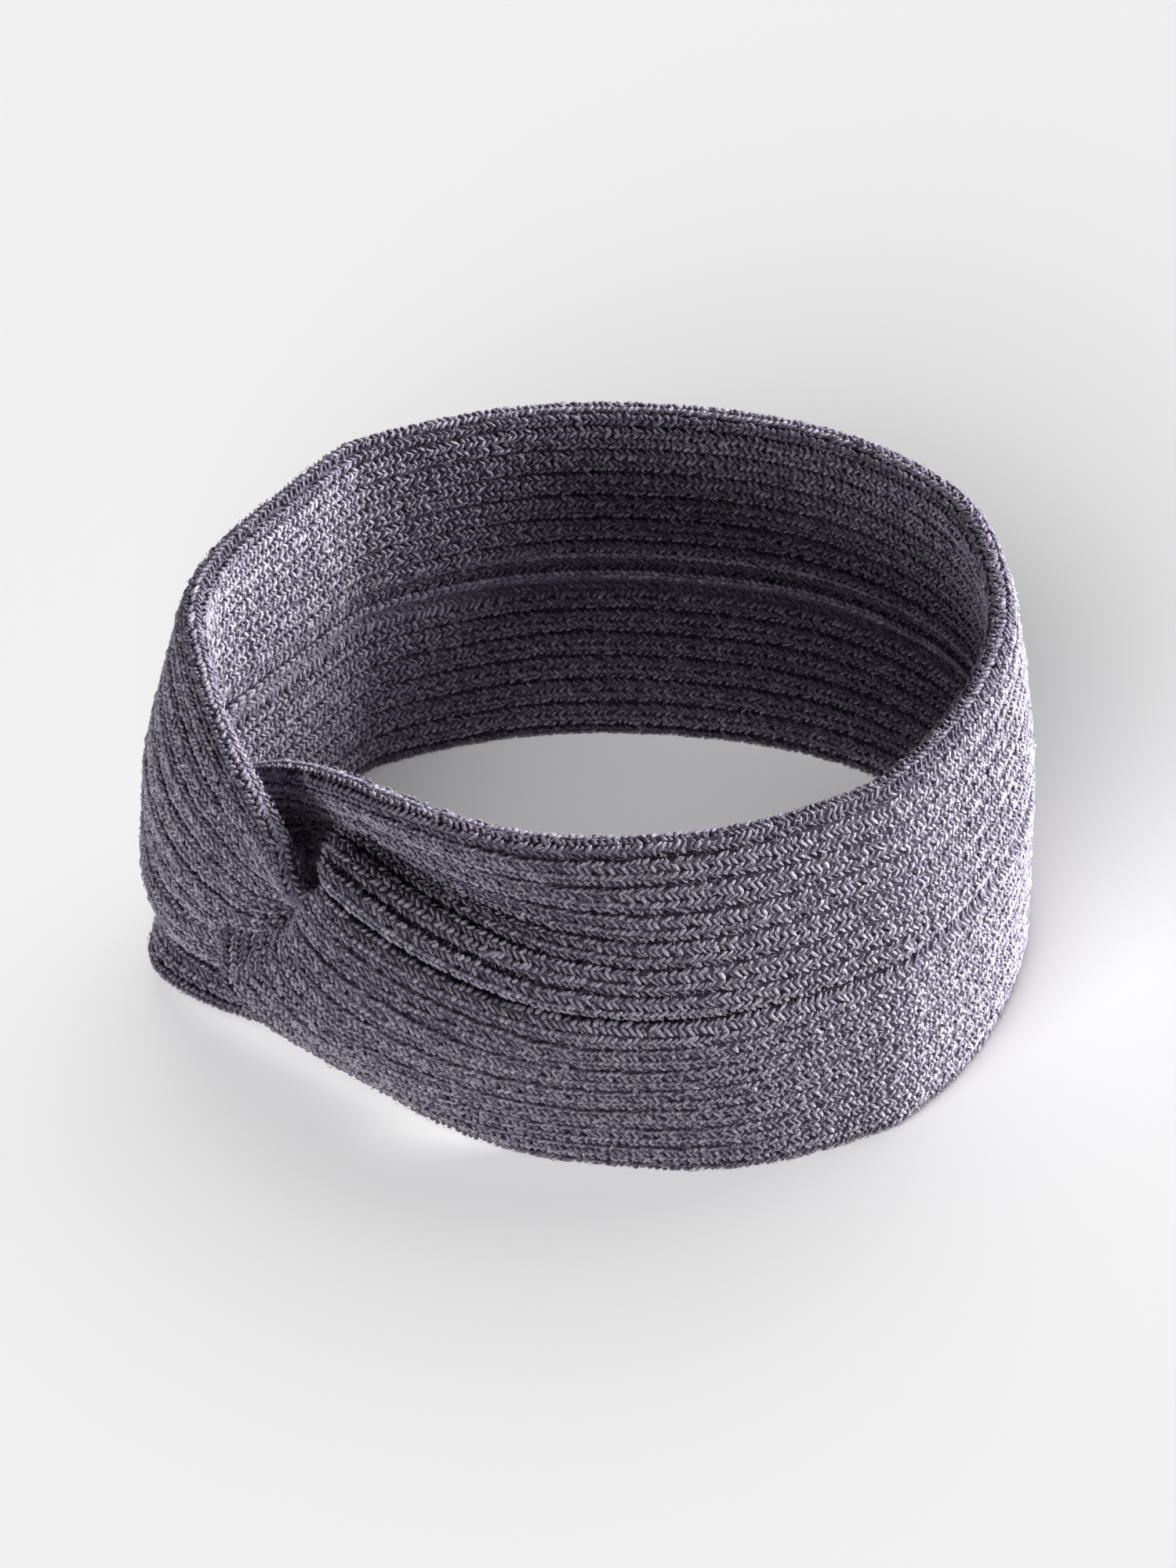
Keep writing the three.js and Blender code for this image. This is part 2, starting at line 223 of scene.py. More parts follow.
def cloth(along, width):
    """The middle of the cloth: distance along the strip, share of its width."""
    wanted, along = along, np.clip(along, 0, LOOP)
    points = place(along, np.zeros_like(along), width)
    right = along < KNOT_REACH
    if right.any():
        points[right] = place_in_knot(*hook(along[right] / KNOT_REACH, width[right]))
    left = along > LOOP - KNOT_REACH
    if left.any():
        run = (LOOP - along[left]) / KNOT_REACH
        far = 1 - width[left]
        reach, out, up = hook(run, far)
        near = 1 - smoothstep(run, 0, SAG_REACH)
        sag = KNOT_SAG / BAND_HEIGHT * np.clip(far, 0, 1) ** SAG_CURVE * near
        points[left] = place_in_knot(-reach, out, -up - sag)
    past = np.abs(wanted - along)
    tuck = past > 0
    if tuck.any():
        before = cloth(np.clip(along[tuck], 1.0, LOOP - 1.0), width[tuck])
        points[tuck] += unit(points[tuck] - before) * past[tuck][:, None]
    return points


def unit(vectors):
    return vectors / np.maximum(np.linalg.norm(vectors, axis=1), 1e-9)[:, None]


def frame_at(along, width):
    """The cloth's middle, the way across it and the way out of it."""
    way = cloth(along + 0.5, width) - cloth(along - 0.5, width)
    up = cloth(along, np.minimum(width + 0.01, 1)) - cloth(along, np.maximum(width - 0.01, 0))
    out = unit(np.cross(way, up))
    return cloth(along, width), unit(np.cross(out, way)), out

# %% [markdown]
# ## The knit's own rows
#
# In knitting a column of stitches is a wale and a row is a course. On this headband the
# wales run round the ring and the courses cross it. A rib is two wales wide, with a deep
# groove on each side and a weak one down its middle. Both edges are rolled and show
# three ridges, and inside lies a flat valley where the strip was linked shut.
#
# One coordinate counts wales all the way round the section: outer face from the floor
# up, over the rim, inner face down, and under the foot.

# %% Wales and grooves round the section
FACE_WALES = 26
ROLL_WALES = 3
RIM_START = FACE_WALES
INNER_START = RIM_START + ROLL_WALES
FOOT_START = INNER_START + FACE_WALES
WALES = FOOT_START + ROLL_WALES
WALE_WIDTH = (HIGH - LOW) / FACE_WALES
COURSE = 1.45  # distance between two stitches of a wale

RIB_ROUND = 0.9  # how far a rib falls from its crest to its groove
CUT_DEPTH = 1.5  # the narrow cut at the bottom of a groove
CUT_REACH = 0.36  # half the width of the cut, in wales
SEAM_VALLEY = 2.0
VALLEY_MIDDLE = INNER_START + FACE_WALES / 2

BELT = 14  # the groove at the height where the front folds outwards
RIB_MARKS = range(2, FACE_WALES, 2)  # grooves between the ribs of one face
HALF_MARKS = range(1, FACE_WALES, 2)  # weak grooves down the middle of each rib

# Columns: the wale mark where a groove lies, and its depth as a share of a full one.
GROOVES = [(at, 1.0) for at in (0, RIM_START, INNER_START, FOOT_START, WALES)]
GROOVES += [(start + at, 0.5) for start in (RIM_START, FOOT_START) for at in (1, 2)]
GROOVES += [(at, 0.65 if at < BELT else 0.85) for at in RIB_MARKS if at != BELT]
GROOVES += [(BELT, 1.5)]
GROOVES += [(INNER_START + at, 0.8) for at in RIB_MARKS if abs(at - FACE_WALES / 2) > 2]
GROOVES += [(start + at, 0.45) for start in (0, INNER_START) for at in HALF_MARKS]


def groove(wale, reach):
    """A groove's depth, which falls to 0 at reach wales beside it."""
    found = np.zeros_like(wale)
    for at, deep in GROOVES:
        near = np.clip(1 - np.abs(wale - at) / reach, 0, None)
        found = np.maximum(found, deep * near)
    return found


def depth_at(wale):
    """How deep the stitches lie under the rib crests."""
    valley = SEAM_VALLEY * (1 - smoothstep(np.abs(wale - VALLEY_MIDDLE), 1.0, 2.2))
    return np.maximum(valley, RIB_ROUND * groove(wale, 1.0) ** 2)


def skin(along, wale, lift=0.0):
    """A point of the knit's surface, lifted off it by a number of millimetres."""
    wale = np.mod(wale, WALES)
    outer = wale < RIM_START
    rim = (wale >= RIM_START) & (wale < INNER_START)
    foot = wale >= FOOT_START
    width = np.where(outer, wale / FACE_WALES, (FOOT_START - wale) / FACE_WALES)
    width = np.where(rim, 1.0, np.where(foot, 0.0, width))
    turn = np.where(outer, 90.0, -90.0)
    turn = np.where(rim, 90 - 180 * (wale - RIM_START) / ROLL_WALES, turn)
    turn = np.where(foot, -90 + 180 * (wale - FOOT_START) / ROLL_WALES, turn)
    angle = np.radians(turn)
    reach = WALL / 2 - depth_at(wale) + lift
    middle, up, out = frame_at(along, width)
    sign = np.where(foot, -1.0, 1.0)
    point = middle + out * (np.sin(angle) * reach)[:, None]
    return point + up * (np.cos(angle) * reach * sign)[:, None]


print("one wale is %.2f mm wide, and there are %d round the section" % (WALE_WIDTH, WALES))

# %% [markdown]
# ## Small tools
#
# Blender's nodes are added one at a time with their settings and links, so one short
# function does that for materials and for geometry alike. Colours are picked in sRGB,
# as on a screen, and one function turns them to the linear values that light needs.

# %% Helpers for nodes, colours and meshes
MM = 0.001


def add(tree, kind, links=None, **settings):
    """Adds a node. links gives each input a number or another node's output."""
    made = tree.nodes.new(kind)
    for key, value in settings.items():
        setattr(made, key, value)
    for key, value in (links or {}).items():
        if isinstance(value, bpy.types.NodeSocket):
            tree.links.new(value, made.inputs[key])
        else:
            made.inputs[key].default_value = value
    return made


def linear(hex_colour):
    """An sRGB hex colour as linear red, green, blue and alpha."""
    shares = [int(hex_colour[i : i + 2], 16) / 255 for i in (1, 3, 5)]
    return [s / 12.92 if s <= 0.04045 else ((s + 0.055) / 1.055) ** 2.4 for s in shares] + [1.0]


def new_object(name, mesh):
    made = bpy.data.objects.new(name, mesh)
    bpy.context.scene.collection.objects.link(made)
    return made


def mesh_of(name, points, faces=()):
    """A mesh from points in millimetres."""
    mesh = bpy.data.meshes.new(name)
    mesh.from_pydata((np.asarray(points) * MM).tolist(), [], [list(f) for f in faces])
    mesh.update()
    return mesh


def triangles_of(made):
    return sum(len(face.vertices) - 2 for face in made.data.polygons)

# %% [markdown]
# ## The yarn
#
# The yarn is a soft wool and acrylic blend, spun from grey, mauve and nearly white
# fibres, which is called heather. It is matt, and its fuzz catches light at a low
# angle, which the sheen setting gives. Every stitch keeps its own random tone, and a
# fine noise adds flecks a fraction of a millimetre across.
#
# The same blend is used five times: for the stitches, for the yarn that shows between
# them, painted darker as shade, for the rolled edges, where the knit is pulled tight and
# has little fuzz and the darker colours are painted shade, for the linking chain, and for
# the stray fibres.

# %% Heathered wool and acrylic yarn
def heathered_yarn(name, dark, middle, warm, light, contrast, sheen):
    """Matt spun yarn with a tone for each stitch and fine flecks."""
    material = bpy.data.materials.new(name)
    material.use_nodes = True
    tree = material.node_tree
    tree.nodes.clear()
    where = add(tree, "ShaderNodeTexCoord").outputs["Object"]
    tone = add(tree, "ShaderNodeAttribute", attribute_name="tone").outputs["Fac"]
    fleck = add(
        tree, "ShaderNodeTexNoise",
        {"Vector": where, "Scale": 1 / (FLECK * MM), "Detail": 2.5, "Roughness": 0.75},
    ).outputs["Fac"]
    centred = add(tree, "ShaderNodeMath", {0: fleck, 1: -0.5}, operation="ADD").outputs[0]
    mixed = add(
        tree, "ShaderNodeMath", {0: centred, 1: contrast, 2: tone}, operation="MULTIPLY_ADD"
    ).outputs[0]
    ramp = add(tree, "ShaderNodeValToRGB", {"Fac": mixed})
    stops = ramp.color_ramp.elements
    stops[0].position, stops[0].color = 0.0, linear(dark)
    stops[1].position, stops[1].color = 1.0, linear(light)
    stops.new(0.5).color = linear(middle)
    stops.new(0.66).color = linear(warm)
    fibres = add(
        tree, "ShaderNodeTexNoise",
        {"Vector": where, "Scale": 1 / (SPUN * MM), "Detail": 2.0, "Roughness": 0.6},
    ).outputs["Fac"]
    bump = add(
        tree, "ShaderNodeBump", {"Height": fibres, "Strength": 0.8, "Distance": SPUN_DEPTH * MM}
    )
    surface = add(
        tree, "ShaderNodeBsdfPrincipled",
        {
            "Base Color": ramp.outputs["Color"],
            "Roughness": 0.92,
            "IOR": 1.45,
            "Specular IOR Level": 0.25,
            "Sheen Weight": sheen,
            "Sheen Roughness": 0.5,
            "Normal": bump.outputs["Normal"],
        },
    )
    add(tree, "ShaderNodeOutputMaterial", {"Surface": surface.outputs["BSDF"]})
    return material


FLECK = 0.5  # size of a fleck of one fibre colour, drawn coarser than the real 0.1 mm
SPUN = 0.4  # size of the lumps that the spun fibres make on a strand
SPUN_DEPTH = 0.16

stitch_yarn = heathered_yarn(
    "heathered_wool_acrylic_yarn", "#504b5d", "#aaa4b9", "#bab0bc", "#e3dfeb", 2.4, 0.3
)
# Painted shade: the yarn between the stitches is the stitches' own yarn, coloured much darker for
# the shade that falls between and under them.
painted_shade_yarn = heathered_yarn(
    "yarn_between_the_stitches_with_painted_shade", "#2b2732", "#595463", "#655e6c", "#97909f", 1.8, 0.1
)
# The rolled edges' yarn has less sheen, as the knit there is pulled tight and has little fuzz; its
# darker colours are painted shade that keeps the rims from looking too bright in the light.
rolled_edge_yarn_with_painted_shade = heathered_yarn(
    "tight_rolled_edge_yarn_with_painted_shade", "#403a4b", "#877f95", "#948a99", "#c3bccd", 2.3, 0.15
)
chain_yarn = heathered_yarn(
    "linking_chain_yarn", "#4b4757", "#9a93a8", "#aa9fab", "#dedae6", 2.2, 0.25
)
stray_yarn = heathered_yarn(
    "stray_wool_fibres", "#69647a", "#aaa3b8", "#b6acb9", "#dfd9e8", 2.2, 0.4
)

# %% [markdown]
# ## The wall of cloth
#
# Under the stitches lies a smooth closed wall with the ribs, the rolled edges and the
# seam valley. It stands for all the yarn that lies deeper in the knit, and its yarn is
# painted darker, as the shade that falls between and under the stitches. It is lofted:
# one ring of points after the other along the strip, closer together in the knot, where
# the cloth turns fast.

# %% Loft the wall
WALL_STEP = 2.6
KNOT_STEP = 1.5
POINTS_A_WALE = 4
BED = -0.5  # how far the wall lies under the stitches


def along_places():
    counts = [int(KNOT_REACH / KNOT_STEP), int((LOOP - 2 * KNOT_REACH) / WALL_STEP)]
    first = np.linspace(-END_TUCK, KNOT_REACH, counts[0], endpoint=False)
    plain = np.linspace(KNOT_REACH, LOOP - KNOT_REACH, counts[1], endpoint=False)
    last = np.linspace(LOOP - KNOT_REACH, LOOP + END_TUCK, counts[0] + 1)
    return np.concatenate([first, plain, last])


def lofted(rows, columns):
    """Faces of a closed body whose points are rows times columns, ends capped."""
    faces = []
    for row in range(rows - 1):
        for column in range(columns):
            a = row * columns + column
            b = row * columns + (column + 1) % columns
            faces.append((a, a + columns, b + columns, b))
    for start, back in ((0, False), ((rows - 1) * columns, True)):
        low, high = 0, columns - 1
        while high - low > 1:
            corners = [start + high, start + low, start + low + 1, start + high - 1]
            corners = corners[:3] if high - 1 == low + 1 else corners
            faces.append(corners[::-1] if back else corners)
            low, high = low + 1, high - 1
    return faces


stations = along_places()
rounds = np.arange(WALES * POINTS_A_WALE) / POINTS_A_WALE
grid_along, grid_round = [g.ravel() for g in np.meshgrid(stations, rounds, indexing="ij")]
wall_points = skin(grid_along, grid_round, BED - CUT_DEPTH * groove(grid_round, CUT_REACH))
wall_points[:, 2] = np.maximum(wall_points[:, 2], 0.0)
wall_mesh = mesh_of("knit_wall", wall_points, lofted(len(stations), len(rounds)))
wall_mesh.shade_smooth()
# The wall gets the yarn that is painted darker, as shade between and under the stitches.
wall_mesh.materials.append(painted_shade_yarn)
# Painted shade: the wall's tone is 0.85 between the grooves and gets darker the deeper the groove,
# where hardly any light reaches.
tone = wall_mesh.attributes.new("tone", "FLOAT", "POINT")
groove_shade = groove(grid_round, 0.6)  # hardly any light reaches the bottom of a groove
tone.data.foreach_set("value", (0.85 - 0.7 * groove_shade).astype(np.float32))
knit_wall = new_object("knit_wall", wall_mesh)
print("wall:", triangles_of(knit_wall), "triangles")

# %% [markdown]
# ## The stitches
#
# A knit stitch shows as a V. Each half of the V, a leg, is a short plump grain of yarn
# that starts low at the middle of its wale and rises outwards. All legs are worked out
# on the surface: where a leg starts and ends, which way is out, and how much room it
# has, so that they crowd where the cloth is gathered in the knot.
#
# Legs could be carved in with bump, but then their edges would stay smooth against the
# light. Real legs cost 12 triangles each. They are put on points by Geometry Nodes, in
# several pieces so that none grows too heavy.

# %% A Geometry Nodes tree that sets a leg of yarn on every point
def leg_tree():
    tree = bpy.data.node_groups.new("legs_of_yarn", "GeometryNodeTree")
    sockets = [
        ("Points", "NodeSocketGeometry"), ("Yarn", "NodeSocketMaterial"),
        ("Size spread", "NodeSocketFloat"), ("Tone spread", "NodeSocketFloat"),
        ("Seed", "NodeSocketInt"),
    ]
    for name, kind in sockets:
        tree.interface.new_socket(name, in_out="INPUT", socket_type=kind)
    tree.interface.new_socket("Legs", in_out="OUTPUT", socket_type="NodeSocketGeometry")
    given = add(tree, "NodeGroupInput").outputs
    ball = add(tree, "GeometryNodeMeshUVSphere", {"Segments": 3, "Rings": 3, "Radius": 0.5})
    turned = add(
        tree, "GeometryNodeTransform",
        {
            "Geometry": ball.outputs["Mesh"],
            "Rotation": (0, 0, np.pi / 2),
            "Scale": (1.2, 1.15, 1.0),
        },
    )
    pointing, outward, size = [
        add(
            tree, "GeometryNodeInputNamedAttribute", {"Name": name}, data_type="FLOAT_VECTOR"
        ).outputs["Attribute"]
        for name in ("pointing", "outward", "size")
    ]
    turn = add(
        tree, "FunctionNodeAxesToRotation",
        {"Primary Axis": pointing, "Secondary Axis": outward},
        primary_axis="Z", secondary_axis="Y",
    )
    around = {"Size spread": 1.0, "Tone spread": 0.5}  # the middle of each random spread
    grow, tone = [
        add(
            tree, "FunctionNodeRandomValue",
            {
                2: add(
                    tree, "ShaderNodeMath", {0: middle, 1: given[spread]}, operation="SUBTRACT"
                ).outputs[0],
                3: add(
                    tree, "ShaderNodeMath", {0: middle, 1: given[spread]}, operation="ADD"
                ).outputs[0],
                "Seed": given["Seed"],
            },
            data_type="FLOAT",
        ).outputs[1]
        for spread, middle in around.items()
    ]
    scale = add(tree, "ShaderNodeVectorMath", {0: size, "Scale": grow}, operation="SCALE")
    toned = add(
        tree, "GeometryNodeStoreNamedAttribute",
        {"Geometry": given["Points"], "Name": "tone", "Value": tone},
        data_type="FLOAT", domain="POINT",
    )
    legs = add(
        tree, "GeometryNodeInstanceOnPoints",
        {
            "Points": toned.outputs["Geometry"],
            "Instance": turned.outputs["Geometry"],
            "Rotation": turn.outputs["Rotation"],
            "Scale": scale.outputs["Vector"],
        },
    )
    real = add(tree, "GeometryNodeRealizeInstances", {"Geometry": legs.outputs["Instances"]})
    dyed = add(
        tree, "GeometryNodeSetMaterial",
        {"Geometry": real.outputs["Geometry"], "Material": given["Yarn"]},
    )
    add(tree, "NodeGroupOutput", {"Legs": dyed.outputs["Geometry"]})
    return tree


LEG_TREE = leg_tree()

# %% Points for the legs, and the legs as one plain mesh
def baked(made, tree, settings):
    """Runs a tree on an object with its named inputs and keeps the plain mesh."""
    modifier = made.modifiers.new("knit", "NODES")
    modifier.node_group = tree
    for item in tree.interface.items_tree:
        if item.item_type == "SOCKET" and item.in_out == "INPUT" and item.name in settings:
            modifier[item.identifier] = settings[item.name]
    graph = bpy.context.evaluated_depsgraph_get()
    graph.update()
    mesh = bpy.data.meshes.new_from_object(made.evaluated_get(graph))
    made.modifiers.remove(modifier)
    made.data = mesh
    mesh.name = made.name
    mesh.shade_smooth()
    return made


def pin_points(name, middle, pointing, outward, size):
    """Points that carry which way a leg points, which way is out, and its size."""
    mesh = mesh_of(name, middle)
    for key, values in (("pointing", pointing), ("outward", outward), ("size", size * MM)):
        held = mesh.attributes.new(key, "FLOAT_VECTOR", "POINT")
        held.data.foreach_set("vector", np.asarray(values, np.float32).ravel())
    return new_object(name, mesh)


def legs_on(name, start, end, outward, width, thick, yarn, seed, stretch=1.3):
    """Legs of yarn from their start points to their end points."""
    pointing = end - start
    length = np.linalg.norm(pointing, axis=1)
    size = np.stack([width, np.full(len(start), thick), length * stretch], axis=1)
    made = pin_points(name, (start + end) / 2, unit(pointing), outward, size)
    settings = {"Yarn": yarn, "Size spread": 0.2, "Tone spread": 0.16, "Seed": seed}
    made = baked(made, LEG_TREE, settings)
    print(name + ":", len(start), "legs,", triangles_of(made), "triangles")
    return made


LEG_SLANT = 1.15  # how far along the wale a leg runs, from its low end to its high end
LEG_THICK = 0.9
LEG_LOW = 0.05  # where a leg starts and ends, in wales from the middle of its wale
LEG_HIGH = 0.43
LEG_GROOVE = 0.33  # where it ends beside a groove
LOW_END, HIGH_END = -0.4, -0.2  # how deep the middle of a leg's two ends lies

# How unevenly hand and machine place a stitch, in millimetres and in wales.
START_SPREAD, END_SPREAD = 0.17, 0.24
REACH_SPREAD, WALE_SPREAD, LIFT_SPREAD = 0.03, 0.05, 0.08
WALE_WAVE, LIFT_WAVE = 0.06, 0.14

STRIP_SAMPLES = 930  # points that measure the true length of a wale
LEG_FILL = 0.92  # a leg's width as a share of the room between two of them
THINNEST, WIDEST = 0.6, 1.3


def waver(along, wale, seed):
    """Slow waves along each wale, between about -1 and 1."""
    phase = np.random.default_rng(seed).uniform(0, 6.28, (3, 2 * WALES))
    row = np.floor(np.asarray(wale) * 2).astype(int) % (2 * WALES)
    waves = [np.sin(along / length + phase[k, row]) for k, length in enumerate((11.0, 4.7, 2.1))]
    return 0.45 * waves[0] + 0.35 * waves[1] + 0.2 * waves[2]


def even_courses(wales, rng):
    """Stitches one course apart. Gives each leg's wale and side, and where it starts and ends."""
    along = np.linspace(-END_TUCK, LOOP + END_TUCK, STRIP_SAMPLES)
    rows = []
    for wale in wales:
        line = skin(along, np.full(len(along), wale + 0.5))
        reached = np.concatenate([[0], np.cumsum(np.linalg.norm(np.diff(line, axis=0), axis=1))])
        low = np.arange(rng.uniform(0, COURSE), reached[-1] - 1.3 * LEG_SLANT, COURSE)
        for side in (-1.0, 1.0):
            start = low + rng.normal(0, START_SPREAD, len(low))
            end = start + LEG_SLANT + rng.normal(0, END_SPREAD, len(low))
            ends = [np.interp(spot, reached, along) for spot in (start, end)]
            same = [np.full(len(low), value) for value in (wale, side)]
            rows.append(np.stack([*same, *ends], axis=1))
    return np.concatenate(rows).T


def stitch_rows(name, wales, yarn, seed):
    """All legs of some wales. The middle wale of each rolled edge has no groove beside it."""
    rng = np.random.default_rng(seed)
    wale, side, low, high = even_courses(wales, rng)
    in_face = np.where(wale >= INNER_START, wale - INNER_START, wale)
    groove_side = np.where(np.mod(in_face, 2) < 1, -1.0, 1.0)
    to_groove = (side == groove_side) & (wale != RIM_START + 1) & (wale != FOOT_START + 1)
    far = np.where(to_groove, LEG_GROOVE, LEG_HIGH) + rng.normal(0, REACH_SPREAD, len(wale))
    middle = wale + 0.5 + WALE_WAVE * waver(low, wale, 5) + rng.normal(0, WALE_SPREAD, len(wale))
    lift = LIFT_WAVE * waver(low, wale + side / 4, 6) + rng.normal(0, LIFT_SPREAD, len(wale))
    start = skin(low, middle + side * LEG_LOW, lift + LOW_END)
    end = skin(high, middle + side * far, lift + HIGH_END)
    here, across = (low + high) / 2, middle + side * (LEG_LOW + LEG_HIGH) / 2
    along = skin(here + 0.5, across) - skin(here - 0.5, across)
    round_ = skin(here, across + 0.12) - skin(here, across - 0.12)
    outward = unit(np.cross(along, round_))
    slope = np.abs(np.sum(unit(end - start) * unit(along), axis=1))
    width = np.clip(COURSE * np.sqrt(1 - slope ** 2) * LEG_FILL, THINNEST, WIDEST)
    made = legs_on(name, start, end, outward, width, LEG_THICK, yarn, seed)
    keep_above_floor(made)
    return made


def keep_above_floor(made):
    """Presses what would reach below the floor flat against it."""
    places = np.empty(len(made.data.vertices) * 3, np.float32)
    made.data.vertices.foreach_get("co", places)
    places = places.reshape(-1, 3)
    places[:, 2] = np.maximum(places[:, 2], 0.0)
    made.data.vertices.foreach_set("co", places.ravel())
    made.data.update()


half = FACE_WALES // 2
low_wales, high_wales = np.arange(half), np.arange(half, FACE_WALES)
rim_wales = np.concatenate([start + np.arange(ROLL_WALES) for start in (RIM_START, FOOT_START)])
stitches = [
    stitch_rows("stitches_outer_low", low_wales, stitch_yarn, 11),
    stitch_rows("stitches_outer_high", high_wales, stitch_yarn, 12),
    stitch_rows("stitches_rims", rim_wales, rolled_edge_yarn_with_painted_shade, 13),
    stitch_rows("stitches_inner_high", INNER_START + low_wales, stitch_yarn, 14),
    stitch_rows("stitches_inner_low", INNER_START + high_wales, stitch_yarn, 15),
]

# %% [markdown]
# ## The bound ends
#
# The cut ends of the strip lie hidden in the knot, apart from a corner that shows from
# inside the ring. A knitter overcasts such an end, so short legs of yarn run from each
# face to the middle of the wall and cover it.

# %% Overcast both ends
BIND_STEP = 0.4  # distance between two binding legs, in wales
BIND_DEPTH = 0.2  # how deep they start in the faces of the cloth
BIND_RISE = 0.5  # how far they stand off the cut end
BIND_WIDTH, BIND_THICK = 1.6, 1.2


def bound_end(edge, way_out):
    """Legs over one cut end: where they start and end, and which way is out."""
    marks = np.arange(0.2, FACE_WALES, BIND_STEP)
    here = np.full(len(marks), edge)
    faces = [skin(here, at, -BIND_DEPTH) for at in (marks, FOOT_START - marks)]
    middle = (faces[0] + faces[1]) / 2
    outward = unit(cloth(here, marks / FACE_WALES) - cloth(here - way_out, marks / FACE_WALES))
    starts = np.concatenate([face + outward * 0.1 for face in faces])
    return starts, np.tile(middle + outward * BIND_RISE, (2, 1)), np.tile(outward, (2, 1))


both_ends = [bound_end(-END_TUCK, -1.0), bound_end(LOOP + END_TUCK, 1.0)]
bound = [np.concatenate(part) for part in zip(*both_ends)]
bound_width = np.full(len(bound[0]), BIND_WIDTH)
stitches.append(
    legs_on("stitches_over_the_ends", *bound, bound_width, BIND_THICK, rolled_edge_yarn_with_painted_shade, 16)
)

# %% [markdown]
# ## The linking chain inside
#
# Where the folded strip was linked shut, a row of larger and tighter stitches lies in
# the flat valley along the inside. It comes out of the knot on one side and runs all
# the way round to the other. The same leg of yarn makes it, a little thicker.

# %% Lay the chain in the valley
CHAIN_START = 0.85 * KNOT_REACH
CHAIN_COURSE = 1.7
CHAIN_THICK = 1.1
CHAIN_OUT = -(WALL / 2 - SEAM_VALLEY) - CHAIN_THICK
CHAIN_SLANT = 1.5
CHAIN_LOW, CHAIN_HIGH = 0.12, 0.85  # where a leg starts and ends beside the chain's middle
CHAIN_SPREAD = 0.06


def in_valley(along, up):
    middle, across, out = frame_at(along, np.full_like(along, 0.5))
    return middle + across * up[:, None] + out * CHAIN_OUT, out


chain_rng = np.random.default_rng(21)
links = np.arange(CHAIN_START, LOOP - CHAIN_START, CHAIN_COURSE)
link, link_side = [g.ravel() for g in np.meshgrid(links, (-1.0, 1.0), indexing="ij")]
link = link + chain_rng.normal(0, CHAIN_SPREAD, len(link))
chain_from, chain_out = in_valley(link, CHAIN_LOW * link_side)
chain_to, _ = in_valley(link + CHAIN_SLANT, CHAIN_HIGH * link_side)
chain_width = np.full(len(link), CHAIN_THICK)
linking_chain = legs_on(
    "linking_chain", chain_from, chain_to, chain_out, chain_width, CHAIN_THICK, chain_yarn, 21
)

# %% [markdown]
# ## The seam behind the knot
#
# Behind the knot the two hooked ends are sewn together under a short knitted loop. The
# photograph doesn't show it, so it stays plain: a flat piece of the same knit that
# stands where the solid model has it, with its own small rows of stitches.

# %% Knit the loop over the sewn ends
LOOP_WIDTH = 30.0
LOOP_HEIGHT = 42.0
LOOP_LOWER = 5.0
LOOP_THICK = 2.0
LOOP_FACE = -KNOT_DROP * 1.15 - WALL / 2 - 0.4
LOOP_WALE = 3.0


def on_loop(along, climb, out):
    """A point of the loop: along the ring, up its height, and out from the ring."""
    up = (KNOT_RISE - LOOP_LOWER + climb) / BAND_HEIGHT
    return place(along, out, 0.5 + up)


loop_rows = np.linspace(-LOOP_HEIGHT / 2, LOOP_HEIGHT / 2, 24)
# Corners of the loop's section: share of half its width, share of its thickness.
loop_round = np.array([
    (-1, 0), (-1, 1), (-0.5, 1), (0, 1), (0.5, 1),
    (1, 1), (1, 0), (0.5, 0), (0, 0), (-0.5, 0),
])
climb, corner = np.meshgrid(loop_rows, np.arange(len(loop_round)), indexing="ij")
corner = corner.ravel()
bed = 0.3  # the bed of the loop is thinner on each side, so that its stitches fit on it
loop_out = LOOP_FACE - bed - loop_round[corner, 1] * (LOOP_THICK - 2 * bed)
loop_points = on_loop(loop_round[corner, 0] * LOOP_WIDTH / 2, climb.ravel(), loop_out)
loop_bed_mesh = mesh_of("loop_over_the_ends", loop_points, lofted(len(loop_rows), len(loop_round)))
loop_bed_mesh.shade_smooth()
loop_bed_mesh.materials.append(chain_yarn)
loop_tone = loop_bed_mesh.attributes.new("tone", "FLOAT", "POINT")
loop_tone.data.foreach_set("value", np.full(len(loop_points), 0.3, np.float32))
loop_bed = new_object("loop_over_the_ends", loop_bed_mesh)

loop_wales = np.arange(-4.5, 5.0) * LOOP_WALE
loop_courses = np.arange(-LOOP_HEIGHT / 2 + 0.6, LOOP_HEIGHT / 2 - 1.2, COURSE)
loop_grid = np.meshgrid(loop_wales, loop_courses, (-1.0, 1.0), (0.0, 1.0), indexing="ij")
wale, course, side, face = [g.ravel() for g in loop_grid]
loop_out = LOOP_FACE - 0.35 - face * (LOOP_THICK - 0.7)
loop_from = on_loop(wale + side * 0.2, course, loop_out)
loop_to = on_loop(wale + side * 1.3, course + 1.1, loop_out)
loop_out_way = unit(on_loop(wale, course, loop_out + 1) - on_loop(wale, course, loop_out))
loop_stitches = legs_on(
    "loop_stitches", loop_from, loop_to, loop_out_way, np.full(len(wale), 1.0), 0.7, chain_yarn, 22
)

# %% [markdown]
# ## Stray fibres
#
# Spun wool is never smooth: short fibres stand off the yarn, and against the light they
# make the soft halo along every edge. A hair system could do this, but hair isn't kept
# as a mesh. Here Geometry Nodes scatter short bent fibres, pointed at both ends, over the
# wall and turn each one round the surface's own direction. Real fibres are about 0.03 mm
# thick. These are 0.13 mm, because thinner ones wouldn't show in a picture of the whole headband.

